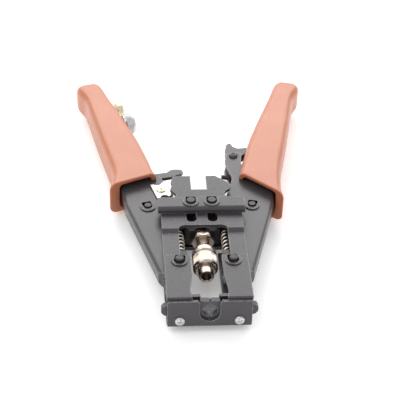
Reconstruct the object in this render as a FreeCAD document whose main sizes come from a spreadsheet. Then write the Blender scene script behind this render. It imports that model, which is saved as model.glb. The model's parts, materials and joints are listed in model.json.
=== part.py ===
import FreeCAD, Part
import Sketcher
import math
import os

# Coaxial crimping tool: a sheet-metal frame with a split clamp at its nose, a sprung crosshead that
# pushes a screw-adjusted plunger towards the clamp, and two gripped handles that drive it by links.
# Tool frame: X across the tool, Y from the nose to the handles, Z up. Millimetres.

V = FreeCAD.Vector
doc = FreeCAD.newDocument("crimping_tool")

DIMS = [
    ("base_z", 4.0, "underside of the frame above the surface it lies on"),
    ("nose_y", -107.8, "front plate's face, from the middle of the tool"),
    ("sheet", 2.0, "frame sheet"),
    ("frame_high", 18.0, "frame, over both outer sheets"),
    ("axis_z", 9.0, "working axis above the frame's underside"),
    ("fit_gap", 0.05, "radial clearance of a turning or sliding fit"),
    ("nose_half", 22.2, "nose frame's half width"),
    ("tab_front", 1.6, "front edge of the nose frame's tabs"),
    ("tab_rear", 36.5, "rear edge of the upper tabs"),
    ("tab_inner", 8.3, "half of the gap between the tabs"),
    ("base_rear", 57.0, "rear edge of the lower nose sheet"),
    ("base_slot_front", 18.5, "front of the lower nose sheet's opening"),
    ("base_slot_rear", 60.0, "rear of the cut that opens the lower nose sheet"),
    ("web_front", 4.9, "front face of the web behind the jaws"),
    ("web_rear", 6.9, "rear face of that web"),
    ("plate_half", 21.9, "front plate's half width"),
    ("plate_thick", 1.5, "front plate"),
    ("plate_high", 16.6, "front plate's height"),
    ("slot_half", 5.2, "half width of the cable slot"),
    ("slot_z", 8.5, "centre of the cable slot's round end"),
    ("jaw_x", 15.4, "jaw pivot from the axis"),
    ("jaw_z", 3.9, "jaw pivot's height"),
    ("jaw_front", 1.7, "jaws' front face"),
    ("jaw_thick", 3.0, "jaws"),
    ("jaw_pin_r", 1.5, "jaw screw's shank"),
    ("jaw_head_r", 2.65, "jaw screw's head"),
    ("jaw_head_high", 1.6, "jaw screw's head"),
    ("cable_r", 3.9, "cable clamp's radius"),
    ("rail_half", 22.6, "rear frame plates' half width"),
    ("rail_front", 7.2, "front edge of the rear frame plates"),
    ("jog_front", 58.0, "start of the outward jog"),
    ("jog_rear", 60.2, "end of the outward jog"),
    ("rail_rear", 108.6, "rear edge of the frame plates"),
    ("window_half", 13.5, "half width of the spring window"),
    ("window_front", 6.0, "front of the spring window, open in front of the plate"),
    ("window_rear", 62.2, "rear of the spring window"),
    ("window_round", 3.5, "corner radius of the spring window"),
    ("track_x", 5.85, "crosshead pins and their slots, from the axis"),
    ("track_half", 2.85, "half width of a crosshead slot"),
    ("track_front", 65.0, "front end of a crosshead slot"),
    ("track_rear", 86.0, "rear end of a crosshead slot"),
    ("notch_half", 4.5, "half width of the spanner notch"),
    ("notch_front", 95.3, "bottom of the spanner notch"),
    ("fulcrum_x", 14.3, "handle fulcrum from the axis"),
    ("fulcrum_y", 31.3, "handle fulcrum behind the front plate"),
    ("fulcrum_r", 2.5, "handle fulcrum pin"),
    ("open_angle", 15.9, "handle's angle from the axis at rest"),
    ("throw_r", 55.7, "fulcrum to link pin"),
    ("link_length", 24.7, "link pin to crosshead pin"),
    ("link_low", 7.2, "underside of a link"),
    ("link_thick", 3.6, "link"),
    ("link_pin_r", 2.0, "link pin in the handle"),
    ("link_hole_r", 3.15, "link's loose eye"),
    ("cross_pin_r", 2.4, "crosshead pin"),
    ("cross_y", 77.945, "crosshead pins at rest"),
    ("bridge_half", 24.4, "bridge plates' half width"),
    ("bridge_front", 72.3, "front edge of a bridge plate"),
    ("bridge_rear", 82.7, "rear edge of a bridge plate"),
    ("bridge_gap", 0.3, "bridge plate above the frame plate"),
    ("bridge_thick", 3.7, "bridge plate"),
    ("block_half", 9.6, "crosshead block's half width"),
    ("block_front", 62.2, "crosshead block's front face"),
    ("shoulder_front", 66.0, "crosshead shoulders' front face"),
    ("shoulder_half", 16.4, "half width over the shoulders"),
    ("shoulder_rear", 73.0, "crosshead shoulders' rear face"),
    ("block_rear", 81.6, "crosshead block's rear face"),
    ("block_low", 4.4, "crosshead block's underside"),
    ("block_high", 9.2, "crosshead block's height"),
    ("rod_r", 2.5, "plunger rod"),
    ("rod_front", 46.0, "plunger rod's front end"),
    ("nut_flats", 11.6, "lock nut across flats"),
    ("nut_front", 57.2, "lock nut's front face"),
    ("nut_rear", 62.0, "lock nut's rear face"),
    ("tube_r", 4.1, "adapter tube"),
    ("bore_r", 2.65, "adapter's connector bore"),
    ("bore_deep", 9.0, "adapter's connector bore"),
    ("tube_front", 28.2, "adapter's front face"),
    ("sleeve_r", 6.7, "knurled sleeve"),
    ("sleeve_front", 34.0, "knurled sleeve's front face"),
    ("sleeve_rear", 43.9, "knurled sleeve's rear face"),
    ("collar_front", 44.4, "domed collar's front face"),
    ("neck_front", 50.6, "start of the adapter's neck"),
    ("neck_r", 3.6, "adapter's neck"),
    ("spring_x", 13.0, "return springs from the axis"),
    ("spring_r", 3.0, "return spring, outside"),
    ("spring_bore_r", 1.75, "return spring, inside"),
    ("spring_front", 45.0, "return springs' front end"),
    ("guide_r", 1.25, "spring guide rod"),
    ("guide_rear", 67.5, "spring guide rod's rear end"),
    ("seat_front", 41.6, "spring seat's front face"),
    ("channel_low", 4.2, "handle channel's underside"),
    ("channel_high", 9.6, "handle channel"),
    ("channel_wall", 2.0, "handle channel's sheet"),
    ("grip_low", -1.4, "grip's underside"),
    ("grip_high", 20.8, "grip"),
    ("head_r", 3.1, "pin heads"),
    ("clip_r", 4.4, "E-clips"),
    ("clip_thick", 0.8, "E-clips"),
    ("lever_low", 9.3, "catch lever's underside"),
    ("lever_thick", 2.2, "catch lever"),
    ("stud_z", 7.7, "catch stud's axis"),
    ("stud_r", 1.3, "catch stud"),
    ("latch_low", 6.5, "latch lever's underside"),
    ("latch_thick", 5.0, "latch lever"),
    ("blade_thick", 1.1, "cutter blade"),
]

sheet = doc.addObject("Spreadsheet::Sheet", "Dims")
for row, (alias, value, note) in enumerate(DIMS, start=1):
    sheet.set("A%d" % row, note)
    sheet.set("B%d" % row, str(value))
    sheet.setAlias("B%d" % row, alias)
d = {alias: value for alias, value, note in DIMS}
doc.recompute()

PARTS = []


def keep(obj, place=None):
    """Marks an object as a sub-part and puts it in the row frame."""
    if place is None:
        obj.Placement = FreeCAD.Placement(V(0, d["nose_y"], d["base_z"]), FreeCAD.Rotation())
        obj.setExpression("Placement.Base.y", "Dims.nose_y")
        obj.setExpression("Placement.Base.z", "Dims.base_z")
    else:
        obj.Placement = place
    PARTS.append(obj)
    return obj


def handle_place(side):
    """Handle frame: origin on the fulcrum, +Y along the handle. side is 1 right, -1 left."""
    turn = FreeCAD.Rotation(V(0, 0, 1), -side * d["open_angle"])
    return FreeCAD.Placement(V(side * d["fulcrum_x"], d["nose_y"] + d["fulcrum_y"], d["base_z"]), turn)


# ---------------------------------------------------------------- PartDesign helpers
def body_of(label):
    body = doc.addObject("PartDesign::Body", label)
    body.Label = label
    return body


def sketch_on(body, role, offset, loops):
    """A sketch on the body's own plane. A loop is a list of points or ('circle', x, y, radius alias)."""
    plane = next(f for f in body.Origin.OriginFeatures if f.Role == role)
    sketch = body.newObject("Sketcher::SketchObject", body.Label + "_sketch")
    sketch.AttachmentSupport = [(plane, "")]
    sketch.MapMode = "FlatFace"
    sketch.AttachmentOffset = FreeCAD.Placement(V(0, 0, offset), FreeCAD.Rotation())
    for loop in loops:
        if loop[0] == "circle":
            x, y, alias = loop[1:]
            index = sketch.addGeometry(Part.Circle(V(x, y, 0), V(0, 0, 1), d[alias]), False)
            radius = sketch.addConstraint(Sketcher.Constraint("Radius", index, d[alias]))
            sketch.setExpression("Constraints[%d]" % radius, "Dims." + alias)
        else:
            add_polygon(sketch, loop)
    return sketch


def add_polygon(sketch, points):
    corners = [V(x, y, 0) for x, y in points]
    first = sketch.GeometryCount
    count = len(corners)
    for i in range(count):
        sketch.addGeometry(Part.LineSegment(corners[i], corners[(i + 1) % count]), False)
    for i in range(count):
        sketch.addConstraint(Sketcher.Constraint("Coincident", first + i, 2, first + (i + 1) % count, 1))


def pad(body, sketch, length, symmetric=False):
    """length is an expression over the sheet."""
    feature = body.newObject("PartDesign::Pad", body.Label + "_pad")
    feature.Profile = sketch
    feature.setExpression("Length", length)
    if symmetric:
        feature.SideType = "Symmetric"
    doc.recompute()
    return feature


def pocket(body, sketch, length, symmetric=False):
    """Cuts against the sketch's normal, and stops if nothing was cut."""
    before = body.Shape.Volume
    feature = body.newObject("PartDesign::Pocket", body.Label + "_pocket")
    feature.Profile = sketch
    feature.setExpression("Length", length)
    if symmetric:
        feature.SideType = "Symmetric"
    doc.recompute()
    if body.Shape.Volume >= before - 1e-6:
        raise RuntimeError("pocket cut nothing in " + body.Label)
    return feature


def round_edges(body, radius, pick):
    """Fillets the edges of the body's tip for which pick(edge) is true."""
    tip = body.Tip
    names = ["Edge%d" % (i + 1) for i, edge in enumerate(tip.Shape.Edges) if pick(edge)]
    feature = body.newObject("PartDesign::Fillet", body.Label + "_fillet")
    feature.Base = (tip, names)
    feature.Radius = radius
    doc.recompute()
    return feature


def upright(edge):
    """True for a straight vertical edge."""
    a, b = edge.Vertexes[0].Point, edge.Vertexes[-1].Point
    return len(edge.Vertexes) == 2 and abs(a.x - b.x) < 1e-6 and abs(a.y - b.y) < 1e-6


def near_xy(points, reach=0.2):
    """Picks vertical edges that stand at one of the points."""
    def pick(edge):
        spot = edge.Vertexes[0].Point
        return upright(edge) and any(math.hypot(spot.x - x, spot.y - y) < reach for x, y in points)
    return pick


def mirror(points, side):
    return [(side * x, y) for x, y in points]


def turned(label, profile, place=None):
    """A body turned about the tool's own axis (tool frame, axis along Y at axis_z).
    profile is a closed list of (distance along Y, radius)."""
    body = body_of(label)
    plane = next(f for f in body.Origin.OriginFeatures if f.Role == "XY_Plane")
    sketch = body.newObject("Sketcher::SketchObject", label + "_sketch")
    sketch.AttachmentSupport = [(plane, "")]
    sketch.MapMode = "FlatFace"
    add_polygon(sketch, [(radius, along) for along, radius in profile])
    feature = body.newObject("PartDesign::Revolution", label + "_turn")
    feature.Profile = sketch
    feature.ReferenceAxis = (sketch, ["V_Axis"])
    feature.Angle = 360.0
    doc.recompute()
    return body


# ---------------------------------------------------------------- Part helpers
def named(kind, label):
    """A new object of the document."""
    return doc.addObject(kind, label)


def box(label, corner, size):
    """corner and size are triples of numbers in the part's frame."""
    obj = named("Part::Box", label)
    obj.Length, obj.Width, obj.Height = size
    obj.Placement = FreeCAD.Placement(V(*corner), FreeCAD.Rotation())
    return obj


def rod(label, centre, radius, height, axis=V(0, 0, 1)):
    """A cylinder from centre along axis. radius is an alias or an expression."""
    obj = named("Part::Cylinder", label)
    obj.setExpression("Radius", radius)
    obj.Height = height
    obj.Placement = FreeCAD.Placement(V(*centre), FreeCAD.Rotation(V(0, 0, 1), axis))
    return obj


def fuse(label, pieces):
    obj = named("Part::MultiFuse", label)
    obj.Shapes = pieces
    obj.Label = label
    return obj


def cut(label, base, tools):
    """base with every tool cut away."""
    obj = named("Part::Cut", label)
    obj.Base = base
    obj.Tool = tools[0] if len(tools) == 1 else fuse(label + "_tools", tools)
    obj.Label = label
    return obj


def group(label, pieces):
    """Separate solids that share one node."""
    obj = named("Part::Compound", label)
    obj.Links = pieces
    obj.Label = label
    return obj


def e_clip(label, centre, pin_alias):
    """A flat retaining clip that opens towards +Y."""
    x, y, z = centre
    thick = d["clip_thick"]
    disc = rod(label + "_disc", centre, "Dims.clip_r", thick)
    hole = rod(label + "_hole", (x, y, z - 1), "Dims." + pin_alias, thick + 2)
    mouth = box(label + "_mouth", (x - d[pin_alias] * 0.8, y, z - 1), (d[pin_alias] * 1.6, 8, thick + 2))
    return cut(label, disc, [hole, mouth])


def cross_recess(label, centre, axis, width, deep):
    """Two crossed bars that cut a cross slot into a screw head whose face is at centre."""
    slim = 0.75
    turn = FreeCAD.Rotation(V(0, 0, 1), axis)
    bars = []
    for i, size in enumerate(((width, slim, deep * 2), (slim, width, deep * 2))):
        bar = named("Part::Box", "%s_bar%d" % (label, i))
        bar.Length, bar.Width, bar.Height = size
        corner = turn.multVec(V(-size[0] / 2, -size[1] / 2, -deep))
        bar.Placement = FreeCAD.Placement(V(*centre) + corner, turn)
        bars.append(bar)
    return bars


# ================================================================ frame
def nose_frame():
    """Bent sheet: upper tabs, lower sheet and the web behind the jaws."""
    body = body_of("nose_frame")
    top, t = d["frame_high"], d["sheet"]
    profile = [(d["tab_front"], 0), (d["base_rear"], 0), (d["base_rear"], t), (d["web_rear"], t),
               (d["web_rear"], top - t), (d["tab_rear"], top - t), (d["tab_rear"], top),
               (d["tab_front"], top), (d["tab_front"], top - t), (d["web_front"], top - t),
               (d["web_front"], t), (d["tab_front"], t)]
    pad(body, sketch_on(body, "YZ_Plane", 0, [profile]), "2 * Dims.nose_half", symmetric=True)
    inner = d["tab_inner"]
    gap = [(-inner, 60), (-inner, 20), (-inner - 0.5, 16), (-inner - 1.4, 9.5), (-inner - 1.4, 5),
           (-inner - 0.8, 3), (-inner - 0.8, -1), (inner + 0.8, -1), (inner + 0.8, 3), (inner + 1.4, 5),
           (inner + 1.4, 9.5), (inner + 0.5, 16), (inner, 20), (inner, 60)]
    pocket(body, sketch_on(body, "XY_Plane", top + 1, [gap]), "Dims.sheet + 1")
    opening = [(-inner, d["base_slot_front"]), (inner, d["base_slot_front"]),
               (inner, d["base_slot_rear"]), (-inner, d["base_slot_rear"])]
    pocket(body, sketch_on(body, "XY_Plane", t + 1, [opening]), "Dims.sheet + 2")
    half, low = d["slot_half"] - 0.5, d["slot_z"]
    slot = [(half * math.cos(a), low + half * math.sin(a))
            for a in (math.pi + math.pi * i / 12 for i in range(13))] + [(half, 30), (-half, 30)]
    pocket(body, sketch_on(body, "XZ_Plane", 0, [slot]), "20", symmetric=True)
    pins = [("circle", s * d["fulcrum_x"], d["fulcrum_y"], "fulcrum_r") for s in (-1, 1)]
    pocket(body, sketch_on(body, "XY_Plane", top + 1, pins), "30")
    screws = [("circle", s * d["jaw_x"], d["jaw_z"], "jaw_pin_r") for s in (-1, 1)]
    pocket(body, sketch_on(body, "XZ_Plane", 0, screws), "20", symmetric=True)
    corners = [(s * d["nose_half"], y) for s in (-1, 1) for y in (d["tab_rear"], d["base_rear"])]
    corners += [(s * inner, d["tab_rear"]) for s in (-1, 1)]
    round_edges(body, 1.2, near_xy(corners))
    round_edges(body, 0.8, lambda e: abs(e.BoundBox.YMin - d["tab_front"]) < 1e-3
                and e.BoundBox.YLength < 1e-3 and abs(e.BoundBox.ZMin - top) < 1e-3
                and e.BoundBox.ZLength < 1e-3)
    return keep(body)


def front_plate():
    """Cover plate with the U slot that takes the cable."""
    body = body_of("front_plate")
    w, high = d["plate_half"], d["plate_high"]
    half, low = d["slot_half"], d["slot_z"]
    round_end = [(half * math.cos(a), low + half * math.sin(a))
                 for a in (math.pi + math.pi * i / 16 for i in range(17))]
    lead = 1.2
    outline = ([(-w, 0.4), (-w + 0.4, 0), (w - 0.4, 0), (w, 0.4), (w, high - 0.8), (w - 0.8, high),
                (half + lead, high), (half, high - lead)] + round_end[::-1]
               + [(-half, high - lead), (-half - lead, high), (-w + 0.8, high), (-w, high - 0.8)])
    sketch = sketch_on(body, "XZ_Plane", -d["plate_thick"], [outline])
    pad(body, sketch, "Dims.plate_thick")
    holes = [("circle", s * d["jaw_x"], d["jaw_z"], "jaw_pin_r") for s in (-1, 1)]
    pocket(body, sketch_on(body, "XZ_Plane", 0, holes), "10", symmetric=True)
    return keep(body)


def front_screws():
    """Two pan-head cross-recess screws: the jaws turn on their shanks."""
    screws = []
    for side, tag in ((-1, "left"), (1, "right")):
        x, z = side * d["jaw_x"], d["jaw_z"]
        head_high = d["jaw_head_high"]
        head = rod("screw_head_" + tag, (x, -head_high, z), "Dims.jaw_head_r", head_high, V(0, 1, 0))
        shank = rod("screw_shank_" + tag, (x, -0.2, z), "Dims.jaw_pin_r", d["web_rear"] + 0.2, V(0, 1, 0))
        solid = fuse("screw_" + tag, [head, shank])
        bars = cross_recess("recess_" + tag, (x, -head_high, z), V(0, -1, 0), 3.2, 0.7)
        screws.append(cut("front_screw_" + tag, solid, bars))
    return keep(group("front_screws", screws))


def frame_plate(label, level):
    """Jogged frame plate. level is 1 for the upper plate, -1 for its mirror image."""
    body = body_of(label)
    mid, t = d["frame_high"] / 2, d["sheet"]
    inner, outer = mid - 2 * t, mid - t
    jog0, jog1 = d["jog_front"], d["jog_rear"]
    profile = [(d["rail_front"], inner), (jog0, inner), (jog1, outer), (d["rail_rear"], outer),
               (d["rail_rear"], outer + t), (jog1 - 0.8, outer + t), (jog0 - 0.8, outer),
               (d["rail_front"], outer)]
    profile = [(y, mid + level * z) for y, z in profile]
    pad(body, sketch_on(body, "YZ_Plane", 0, [profile]), "2 * Dims.rail_half", symmetric=True)
    w = d["rail_half"] + 2
    left = [(-w, 83), (-22.6, 83), (-14.6, 88.2), (-13.3, 90.4), (-16.5, 96), (-15.3, 100.4),
            (-16, 103.2), (-14.2, d["rail_rear"] + 1), (-w, d["rail_rear"] + 1)]
    right = [(w, 83), (22.6, 83), (14.8, 88.2), (14.0, 91.4), (15.1, 93.8), (17.6, 96), (18.4, 98.8),
             (16.4, 102.6), (13.1, 105.7), (9.9, d["rail_rear"] - 0.1), (9.9, d["rail_rear"] + 1),
             (w, d["rail_rear"] + 1)]
    pocket(body, sketch_on(body, "XY_Plane", 30, [left, right]), "60")
    n = d["notch_half"]
    notch = [(-n, d["rail_rear"] + 1), (-n, d["notch_front"]), (n, d["notch_front"]),
             (n, d["rail_rear"] + 1)]
    pocket(body, sketch_on(body, "XY_Plane", 30, [notch]), "60")
    half, front, rear, r = d["window_half"], d["window_front"], d["window_rear"], d["window_round"]
    window = [(-half, front), (half, front), (half, rear), (-half, rear)]
    pocket(body, sketch_on(body, "XY_Plane", 30, [window]), "60")
    tracks = []
    for side in (-1, 1):
        x, wide = side * d["track_x"], d["track_half"]
        ends = []
        for y, start in ((d["track_front"] + wide, math.pi), (d["track_rear"] - wide, 0)):
            ends += [(x + wide * math.cos(a), y + wide * math.sin(a))
                     for a in (start + math.pi * i / 10 for i in range(11))]
        tracks.append(ends)
    pocket(body, sketch_on(body, "XY_Plane", 30, tracks), "60")
    pins = [("circle", s * d["fulcrum_x"], d["fulcrum_y"], "fulcrum_r") for s in (-1, 1)]
    pocket(body, sketch_on(body, "XY_Plane", 30, pins), "60")
    round_edges(body, r, near_xy([(s * half, rear) for s in (-1, 1)]))
    return keep(body)


def spring_seats():
    """Two blocks between the frame plates that the return springs push against."""
    low, high = 2 * d["sheet"], d["frame_high"] - 4 * d["sheet"]
    seats = []
    for side, tag in ((-1, "left"), (1, "right")):
        inner = min(side * 9.8, side * 16.4)
        block = box("seat_block_" + tag, (inner, d["seat_front"], low),
                    (6.6, d["spring_front"] - d["seat_front"], high))
        hole = rod("seat_hole_" + tag, (side * d["spring_x"], 30, d["axis_z"]), "Dims.guide_r", 30,
                   V(0, 1, 0))
        seats.append(cut("seat_" + tag, block, [hole]))
    return keep(group("spring_seats", seats))


def spring_guides():
    guides = [rod("guide_" + tag, (side * d["spring_x"], d["seat_front"], d["axis_z"]), "Dims.guide_r",
                  d["guide_rear"] - d["seat_front"], V(0, 1, 0))
              for side, tag in ((-1, "left"), (1, "right"))]
    return keep(group("spring_guides", guides))


def return_spring(side, tag):
    """Closed envelope of a coil spring."""
    x, length = side * d["spring_x"], d["shoulder_front"] - d["spring_front"]
    outer = rod("coil_outer_" + tag, (x, d["spring_front"], d["axis_z"]), "Dims.spring_r", length,
                V(0, 1, 0))
    inner = rod("coil_inner_" + tag, (x, d["spring_front"] - 1, d["axis_z"]), "Dims.spring_bore_r",
                length + 2, V(0, 1, 0))
    return keep(cut("return_spring_" + tag, outer, [inner]))


def pivot_pin(side, tag):
    """Headed fulcrum pin through both frame layers and the handle."""
    x, y, top = side * d["fulcrum_x"], d["fulcrum_y"], d["frame_high"]
    shank = rod("fulcrum_shank_" + tag, (x, y, -1.6), "Dims.fulcrum_r", top + 1.6 + 2.0)
    head = rod("fulcrum_head_" + tag, (x, y, -1.8), "Dims.head_r + 0.6", 1.8)
    crown = named("Part::Cone", "fulcrum_crown_" + tag)
    crown.setExpression("Radius1", "Dims.fulcrum_r")
    crown.setExpression("Radius2", "Dims.fulcrum_r - 0.5")
    crown.Height = 0.5
    crown.Placement = FreeCAD.Placement(V(x, y, top + 2.0), FreeCAD.Rotation())
    return keep(fuse("pivot_pin_" + tag, [shank, head, crown]))


def pivot_clips():
    clips = [e_clip("pivot_clip_" + tag, (side * d["fulcrum_x"], d["fulcrum_y"], d["frame_high"]),
                    "fulcrum_r") for side, tag in ((-1, "left"), (1, "right"))]
    return keep(group("pivot_clips", clips))


# ================================================================ jaws
def jaw(side, tag):
    """Half of the split cable clamp, with its thumb ear outside the frame."""
    body = body_of("jaw_" + tag)
    outline = [(0.12, 2.6), (0.12, 14.9), (0.5, 15.4), (5.0, 15.4), (5.8, 13.6), (8.4, 12.6),
               (21.5, 12.9), (23.9, 12.4), (25.0, 10.6), (25.0, 8.2), (23.8, 6.5), (21.0, 5.4),
               (17.6, 4.9), (17.5, 3.4), (16.6, 2.6)]
    sketch = sketch_on(body, "XZ_Plane", -d["jaw_front"] - d["jaw_thick"], [mirror(outline, side)])
    pad(body, sketch, "Dims.jaw_thick")
    bore = named("Part::Cylinder", "jaw_bore_" + tag)
    bore.setExpression("Radius", "Dims.jaw_pin_r + Dims.fit_gap")
    bore.Height = 12
    bore.Placement = FreeCAD.Placement(V(side * d["jaw_x"], -2, d["jaw_z"]),
                                       FreeCAD.Rotation(V(0, 0, 1), V(0, 1, 0)))
    cable_hole = rod("cable_hole_" + tag, (0, -2, d["axis_z"]), "Dims.cable_r", 12, V(0, 1, 0))
    body.Label = "jaw_blank_" + tag
    return keep(cut("jaw_" + tag, body, [bore, cable_hole]))


def jaw_spring(side, tag):
    """Closed envelope of the small coil under a jaw's ear."""
    x, y = side * 19.4, d["jaw_front"] + d["jaw_thick"] / 2
    outer = rod("ear_coil_" + tag, (x, y, d["sheet"]), "Dims.stud_r", 2.9)
    inner = rod("ear_coil_bore_" + tag, (x, y, 1), "Dims.stud_r - 0.5", 6)
    return keep(cut("jaw_spring_" + tag, outer, [inner]))


# ================================================================ crosshead and plunger
def crosshead_block():
    """Sliding block: shoulders for the springs in front, a fork for the links behind."""
    low, high = d["block_low"], d["block_high"]
    nose = box("block_nose", (-d["block_half"], d["block_front"], low),
               (2 * d["block_half"], d["block_rear"] - d["block_front"], high))
    shoulders = box("block_shoulders", (-d["shoulder_half"], d["shoulder_front"], low),
                    (2 * d["shoulder_half"], d["shoulder_rear"] - d["shoulder_front"], high))
    fork = box("block_fork", (-30, d["shoulder_rear"] - 1.5, d["link_low"] - 0.3),
               (60, 20, d["link_thick"] + 0.6))
    rod_hole = rod("block_rod_hole", (0, 50, d["axis_z"]), "Dims.rod_r", 40, V(0, 1, 0))
    tools = [fork, rod_hole]
    for side, tag in ((-1, "left"), (1, "right")):
        tools.append(rod("block_guide_hole_" + tag, (side * d["spring_x"], 60, d["axis_z"]),
                         "Dims.guide_r + Dims.fit_gap", 20, V(0, 1, 0)))
        tools.append(rod("block_pin_hole_" + tag, (side * d["track_x"], d["cross_y"], -5),
                         "Dims.cross_pin_r", 30))
    return keep(cut("crosshead_block", fuse("block_blank", [nose, shoulders]), tools))


def bridge(label, level):
    """Plate outside the frame that ties the two crosshead pins."""
    body = body_of(label)
    w, front, rear, r = d["bridge_half"], d["bridge_front"], d["bridge_rear"], 2.6
    outline = [(-w, front), (w, front), (w, rear), (-w, rear)]
    gap, thick = d["bridge_gap"], d["bridge_thick"]
    base = d["frame_high"] + gap if level > 0 else -gap - thick
    pad(body, sketch_on(body, "XY_Plane", base, [outline]), "Dims.bridge_thick")
    pins = [("circle", s * d["track_x"], d["cross_y"], "cross_pin_r") for s in (-1, 1)]
    pocket(body, sketch_on(body, "XY_Plane", 40, pins), "80")
    round_edges(body, r, near_xy([(s * w, rear) for s in (-1, 1)]))
    skin = base + thick if level > 0 else base
    round_edges(body, 2.2, lambda e: abs(e.BoundBox.YMax - front) < 1e-3
                and abs(e.BoundBox.ZMin - skin) < 1e-3 and e.BoundBox.ZLength < 1e-3)
    return keep(body)


def crosshead_pins():
    pins = []
    low = -d["bridge_gap"] - d["bridge_thick"]
    top = d["frame_high"] + d["bridge_gap"] + d["bridge_thick"] + 1.8
    for side, tag in ((-1, "left"), (1, "right")):
        pins.append(rod("cross_pin_" + tag, (side * d["track_x"], d["cross_y"], low),
                        "Dims.cross_pin_r", top - low))
    return keep(group("crosshead_pins", pins))


def crosshead_clips():
    z = d["frame_high"] + d["bridge_gap"] + d["bridge_thick"]
    clips = [e_clip("cross_clip_" + tag, (side * d["track_x"], d["cross_y"], z), "cross_pin_r")
             for side, tag in ((-1, "left"), (1, "right"))]
    return keep(group("crosshead_clips", clips))


def plunger_rod():
    length = d["shoulder_rear"] - 1.5 - d["rod_front"]
    stem = rod("plunger_stem", (0, d["rod_front"], d["axis_z"]), "Dims.rod_r", length, V(0, 1, 0))
    return keep(group("plunger_rod", [stem]))


def lock_nut():
    """Hexagonal lock nut, one flat upwards."""
    thick = d["nut_rear"] - d["nut_front"]
    prism = named("Part::Prism", "nut_prism")
    prism.Polygon = 6
    prism.setExpression("Circumradius", "Dims.nut_flats / sqrt(3)")
    prism.Height = thick
    turn = FreeCAD.Rotation(V(0, 0, 1), V(0, 1, 0))
    prism.Placement = FreeCAD.Placement(V(0, d["nut_front"], d["axis_z"]), turn)
    bore = rod("nut_bore", (0, d["nut_front"] - 1, d["axis_z"]), "Dims.rod_r + Dims.fit_gap", thick + 2,
               V(0, 1, 0))
    return keep(cut("lock_nut", prism, [bore]))


def on_axis(body):
    """Moves a turned body onto the working axis."""
    body.Placement = FreeCAD.Placement(V(0, d["nose_y"], d["base_z"] + d["axis_z"]), FreeCAD.Rotation())
    body.setExpression("Placement.Base.y", "Dims.nose_y")
    body.setExpression("Placement.Base.z", "Dims.base_z + Dims.axis_z")
    PARTS.append(body)
    return body


def adapter_core():
    """Tube that meets the connector, domed collar and threaded neck, all one turning."""
    front, mouth = d["tube_front"], d["bore_r"]
    tube, collar, dome_end = d["tube_r"], d["collar_front"], d["neck_front"]
    rear, inner = d["nut_front"], d["rod_r"] + d["fit_gap"]
    crown = d["sleeve_r"]
    dome = [(collar, crown - 0.4), (collar + 0.4, crown), (collar + 2.2, crown), (collar + 3.6, crown - 0.5),
            (collar + 4.8, crown - 1.3), (dome_end - 0.4, crown - 2.3), (dome_end, d["neck_r"])]
    profile = ([(front, mouth + 0.4), (front, tube - 0.5), (front + 0.5, tube), (collar, tube)] + dome
               + [(rear, d["neck_r"]), (rear, inner), (d["rod_front"] - 1, inner),
                  (d["rod_front"] - 1, 0), (front + d["bore_deep"] + 1.2, 0),
                  (front + d["bore_deep"], mouth), (front + 0.4, mouth)])
    return on_axis(turned("adapter_core", profile))


def knurled_sleeve():
    front, rear, crown = d["sleeve_front"], d["sleeve_rear"], d["sleeve_r"]
    inner = d["tube_r"] + d["fit_gap"]
    profile = [(front, inner), (front, crown - 1.0), (front + 1.0, crown), (rear - 0.5, crown),
               (rear, crown - 0.5), (rear, inner)]
    return on_axis(turned("knurled_sleeve", profile))


# ================================================================ links
def link(side, tag):
    """Flat link from the crosshead pin to the handle's link pin, modelled in the tool frame."""
    swing = math.radians(d["open_angle"])
    far_x = d["fulcrum_x"] + d["throw_r"] * math.sin(swing)
    far_y = d["fulcrum_y"] + d["throw_r"] * math.cos(swing)
    near = V(side * d["track_x"], d["cross_y"], d["link_low"])
    far = V(side * far_x, far_y, d["link_low"])
    thick = d["link_thick"]
    reach = far - near
    angle = math.degrees(math.atan2(reach.y, reach.x))
    bar = named("Part::Box", "link_bar_" + tag)
    bar.Length, bar.Width, bar.Height = reach.Length, 6.4, thick
    turn = FreeCAD.Rotation(V(0, 0, 1), angle)
    bar.Placement = FreeCAD.Placement(near + turn.multVec(V(0, -3.2, 0)), turn)
    eyes = [rod("link_eye_near_" + tag, near, "Dims.cross_pin_r + 2.4", thick),
            rod("link_eye_far_" + tag, far, "Dims.link_hole_r + 2.0", thick)]
    holes = [rod("link_hole_near_" + tag, near + V(0, 0, -1), "Dims.cross_pin_r + Dims.fit_gap", thick + 2),
             rod("link_hole_far_" + tag, far + V(0, 0, -1), "Dims.link_hole_r", thick + 2)]
    return keep(cut("link_" + tag, fuse("link_blank_" + tag, [bar] + eyes), holes))


# ================================================================ handles
LATCH_PIVOT = (-19.9, 101.8)
CATCH_PIVOT = (-6.2, 85.9)
BLADE_SCREW = (-11.6, 67.6)
SPARE_STUDS = (149, 167)

# The grip's sections along the handle: place, inner side, outer side, and how far the section stands
# proud of the grip's height (negative where it is lower).
GRIP = [(95, -12.8, 10.4, -0.2), (115, -13.2, 9.2, -0.3), (138, -12.2, 7.8, -0.4), (156, -11.0, 6.4, -0.6),
        (173, -9.9, 5.3, -0.9), (184, -9.4, 7.2, -1.0), (188.5, -8.8, 6.8, -1.6), (191.4, -6.6, 4.2, -3.4)]
BELL_LEFT = [(66, -14.0, 17.8, 0.3), (74, -13.2, 17.2, 0.2), (80, -12.6, 14.4, 0.0), (86, -12.2, 12.0, 0.0)]
BELL_RIGHT = [(56, -14.0, 17.6, 0.3), (64, -13.3, 16.9, 0.2), (71, -12.7, 14.4, 0.0), (80, -12.2, 12.5, 0.0)]
CAVITY = [(56, -11.0, 12.9, -2.6), (80, -9.2, 9.6, -2.8), (95, -9.4, 7.1, -5.4), (112, -9.8, 6.1, -5.5),
          (135, -9.0, 4.6, -5.5), (155, -8.0, 3.1, -5.5), (173, -6.7, 2.0, -5.5), (183.2, -6.2, 2.0, -5.5)]
MOUTH_INNER = (-12.2, 79.0)
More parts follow.
